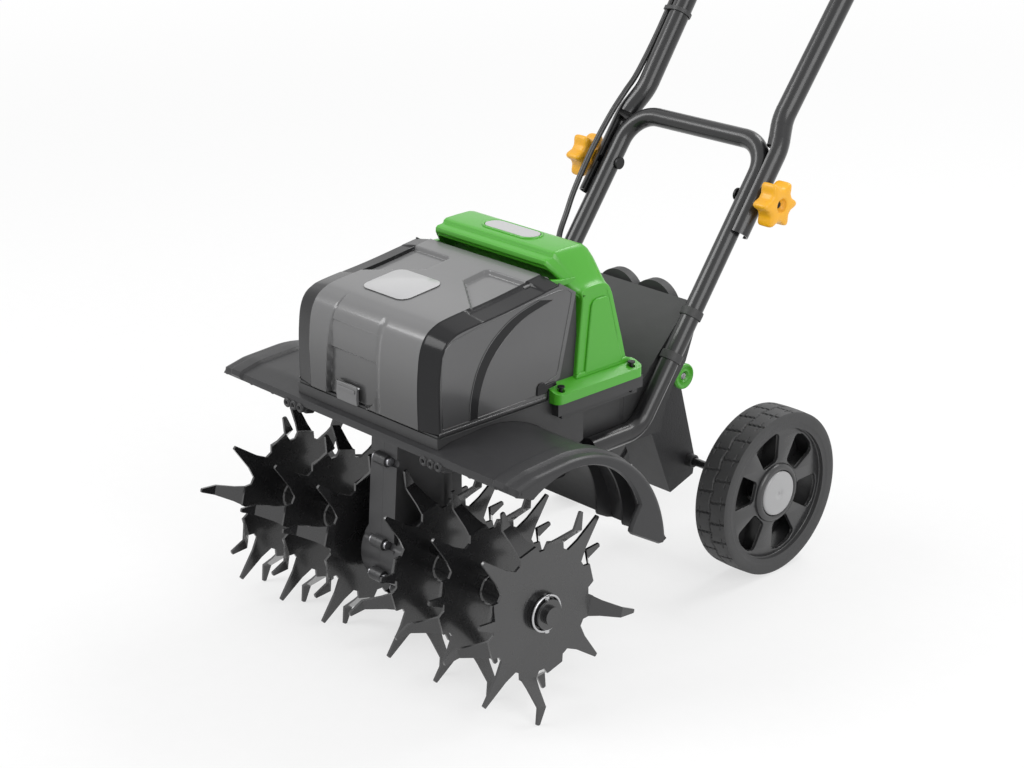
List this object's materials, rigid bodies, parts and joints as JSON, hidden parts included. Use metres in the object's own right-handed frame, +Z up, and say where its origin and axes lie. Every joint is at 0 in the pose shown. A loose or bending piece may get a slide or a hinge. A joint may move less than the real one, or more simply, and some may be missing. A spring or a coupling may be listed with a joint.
{
  "type": "battery garden tiller",
  "caption": "Walk-behind battery garden tiller with star tines under an arched deck, a hinged smoked battery lid, transport wheels on a swinging leg and a folding tube handle.",
  "frame": {"origin": "on the ground, centred over the footprint of the whole machine", "axes": "+X to the right of a person in front of the machine who faces its lid, +Y backwards from the tines towards the handle, +Z up"},
  "size_m": [0.474, 0.9113, 0.9664],
  "materials": {
    "deck_paint": "satin, dark grey moulded deck",
    "body_plastic": "satin black moulded housing",
    "bay_plastic": "matt dark grey battery bay",
    "pack_plastic": "textured black battery case",
    "green_plastic": "glossy bright green",
    "smoke_lid": "glossy smoke-tinted clear plastic",
    "knob_plastic": "satin orange-yellow",
    "label": "bare label, no print",
    "tube_paint": "black powder coat",
    "tine_paint": "glossy black paint",
    "case_metal": "cast and painted grey",
    "steel": "bright steel",
    "bronze": "bronze worm wheel",
    "copper": "iron and copper windings",
    "board": "green circuit board",
    "contact": "plated contacts",
    "rubber": "soft black rubber or foam",
    "tyre": "black moulded tread",
    "rim_plastic": "satin black wheel rim",
    "cap_plastic": "light grey hub cap"
  },
  "bodies": {
    "machine": {"deck": "deck_paint", "lower_housing": "body_plastic", "battery_tray": "bay_plastic", "battery_pack_left": "pack_plastic", "battery_pack_right": "pack_plastic", "battery_contacts": "contact", "bridge_cover": "green_plastic", "name_plate": "label", "body_screws": "steel", "rear_housing": "body_plastic", "rear_cover": "body_plastic", "bar_clips": "body_plastic", "lower_handle": "tube_paint", "gear_case_left": "case_metal", "gear_case_right": "case_metal", "gear_case_bolts": "steel", "ball_bearings": "steel", "shaft_seals": "rubber", "motor_can": "steel", "stator": "copper", "controller_board": "board", "leg_bracket": "tube_paint", "leg_pivot_pin": "steel", "lid_hinge_pins": "steel", "handle_bolts": "steel", "switch_cable": "rubber"},
    "lid": {"lid": "smoke_lid", "lid_badge": "label"},
    "lid_latch": {"lid_latch": "bay_plastic"},
    "tine_rotor": {"tine_shaft": "tine_paint", "worm_wheel": "bronze", "tine_star_1": "tine_paint", "tine_star_2": "tine_paint", "tine_star_3": "tine_paint", "tine_star_4": "tine_paint", "tine_star_5": "tine_paint", "tine_star_6": "tine_paint", "hub_sleeves": "tine_paint", "retaining_pins": "steel"},
    "motor_rotor": {"rotor": "steel", "worm": "steel"},
    "leg": {"wheel_leg": "body_plastic", "wheel_axle": "steel", "axle_collars": "body_plastic"},
    "leg_lock": {"lock_pin": "steel", "lock_knob": "green_plastic"},
    "wheel_left": {"rim_left": "rim_plastic", "tyre_left": "tyre", "hub_cap_left": "cap_plastic"},
    "wheel_right": {"rim_right": "rim_plastic", "tyre_right": "tyre", "hub_cap_right": "cap_plastic"},
    "upper_handle": {"upper_handle": "tube_paint", "handle_grip": "rubber", "switch_box": "body_plastic", "cable_ties": "body_plastic"},
    "lock_button": {"lock_button": "knob_plastic"},
    "bail": {"bail_lever": "tube_paint"},
    "knob_left": {"star_knob_left": "knob_plastic"},
    "knob_right": {"star_knob_right": "knob_plastic"}
  },
  "joints": [
    {"name": "lid_hinge", "type": "hinge", "parent": "machine", "child": "lid", "pos_m": [0, -0.23048, 0.412], "axis": [-1, 0, 0], "range_deg": [0, 70]},
    {"name": "lid_latch_hinge", "type": "hinge", "parent": "lid", "child": "lid_latch", "pos_m": [-0.0265, -0.40298, 0.311], "axis": [-1, 0, 0], "range_deg": [0, 25], "stiffness_Nm_per_rad": 0.05, "springref_deg": -17.19},
    {"name": "tine_spin", "type": "hinge", "parent": "machine", "child": "tine_rotor", "pos_m": [0, -0.34448, 0.11108], "axis": [1, 0, 0], "continuous": true},
    {"name": "motor_spin", "type": "hinge", "parent": "machine", "child": "motor_rotor", "pos_m": [0, -0.30698, 0.2], "axis": [0, 0, 1], "continuous": true},
    {"name": "leg_swing", "type": "hinge", "parent": "machine", "child": "leg", "pos_m": [0, 0.00752, 0.246], "axis": [1, 0, 0], "range_deg": [0, 50]},
    {"name": "leg_lock_pull", "type": "slide", "parent": "machine", "child": "leg_lock", "axis": [1, 0, 0], "range_m": [0, 0.008], "stiffness_N_per_m": 400, "springref_m": -0.004},
    {"name": "wheel_left_spin", "type": "hinge", "parent": "leg", "child": "wheel_left", "pos_m": [-0.148, 0.07852, 0.1], "axis": [1, 0, 0], "continuous": true},
    {"name": "wheel_right_spin", "type": "hinge", "parent": "leg", "child": "wheel_right", "pos_m": [0.148, 0.07852, 0.1], "axis": [1, 0, 0], "continuous": true},
    {"name": "handle_fold", "type": "hinge", "parent": "machine", "child": "upper_handle", "pos_m": [0, 0.07352, 0.447], "axis": [-1, 0, 0], "range_deg": [-115, 0], "deforming": ["switch_cable"]},
    {"name": "lock_button_press", "type": "slide", "parent": "upper_handle", "child": "lock_button", "axis": [0, 0.8059, -0.592], "range_m": [0, 0.004], "stiffness_N_per_m": 300, "springref_m": -0.002},
    {"name": "bail_squeeze", "type": "hinge", "parent": "upper_handle", "child": "bail", "pos_m": [0, 0.3932, 0.8822], "axis": [1, 0, 0], "range_deg": [-20, 0], "stiffness_Nm_per_rad": 1.5, "springref_deg": 20.05},
    {"name": "knob_left_turn", "type": "hinge", "parent": "machine", "child": "knob_left", "pos_m": [-0.143, 0.07352, 0.447], "axis": [1, 0, 0], "continuous": true},
    {"name": "knob_right_turn", "type": "hinge", "parent": "machine", "child": "knob_right", "pos_m": [0.143, 0.07352, 0.447], "axis": [1, 0, 0], "continuous": true}
  ],
  "couplings": [
    {"joint": "motor_spin", "follows": "tine_spin", "ratio": 30}
  ]
}
